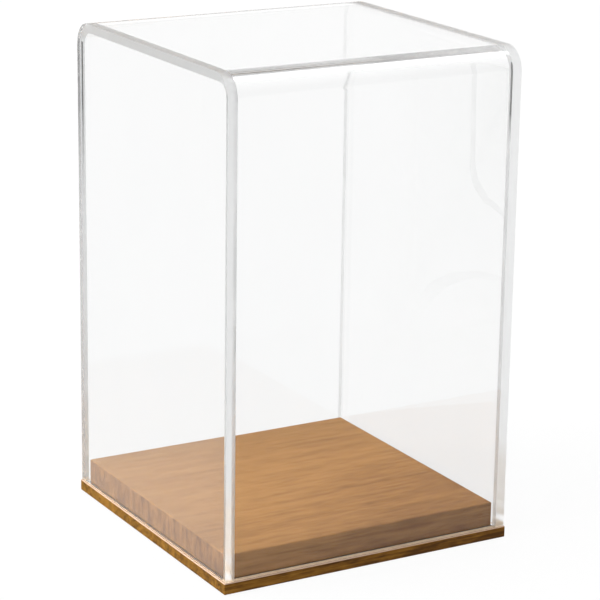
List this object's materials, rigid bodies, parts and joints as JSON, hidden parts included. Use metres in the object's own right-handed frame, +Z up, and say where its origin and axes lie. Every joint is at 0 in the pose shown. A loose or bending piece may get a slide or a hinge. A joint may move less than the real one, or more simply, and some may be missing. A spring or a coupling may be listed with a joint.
{
  "type": "acrylic display case",
  "caption": "Tall clear box cover, bent from one sheet with bonded end panels, lifted straight off a stepped hardwood base to show an object inside.",
  "frame": {"origin": "middle of the footprint, on the surface that the feet stand on", "axes": "+Z up, the way the cover lifts off; -Y out of the front wall of the bent sheet; +X out of the right end panel"},
  "size_m": [0.2032, 0.2032, 0.3169],
  "materials": {
    "clear_acrylic": "clear cast acrylic, polished faces and edges",
    "plinth_wood": "stained hardwood, satin oil finish, darker on its edges",
    "deck_wood": "stained hardwood, satin oil finish",
    "zinc_steel": "zinc plated",
    "grey_rubber": "matte moulded rubber"
  },
  "bodies": {
    "base": {"plinth_board": "plinth_wood", "deck_board": "deck_wood", "deck_screw_front_left": "zinc_steel", "deck_screw_front_right": "zinc_steel", "deck_screw_back_left": "zinc_steel", "deck_screw_back_right": "zinc_steel", "foot_front_left": "grey_rubber", "foot_front_right": "grey_rubber", "foot_back_left": "grey_rubber", "foot_back_right": "grey_rubber"},
    "cover": {"cover_bent_sheet": "clear_acrylic", "cover_left_panel": "clear_acrylic", "cover_right_panel": "clear_acrylic"}
  },
  "joints": [
    {"name": "cover_lift", "type": "slide", "parent": "base", "child": "cover", "axis": [0, 0, 1], "range_m": [0, 0.325]}
  ]
}
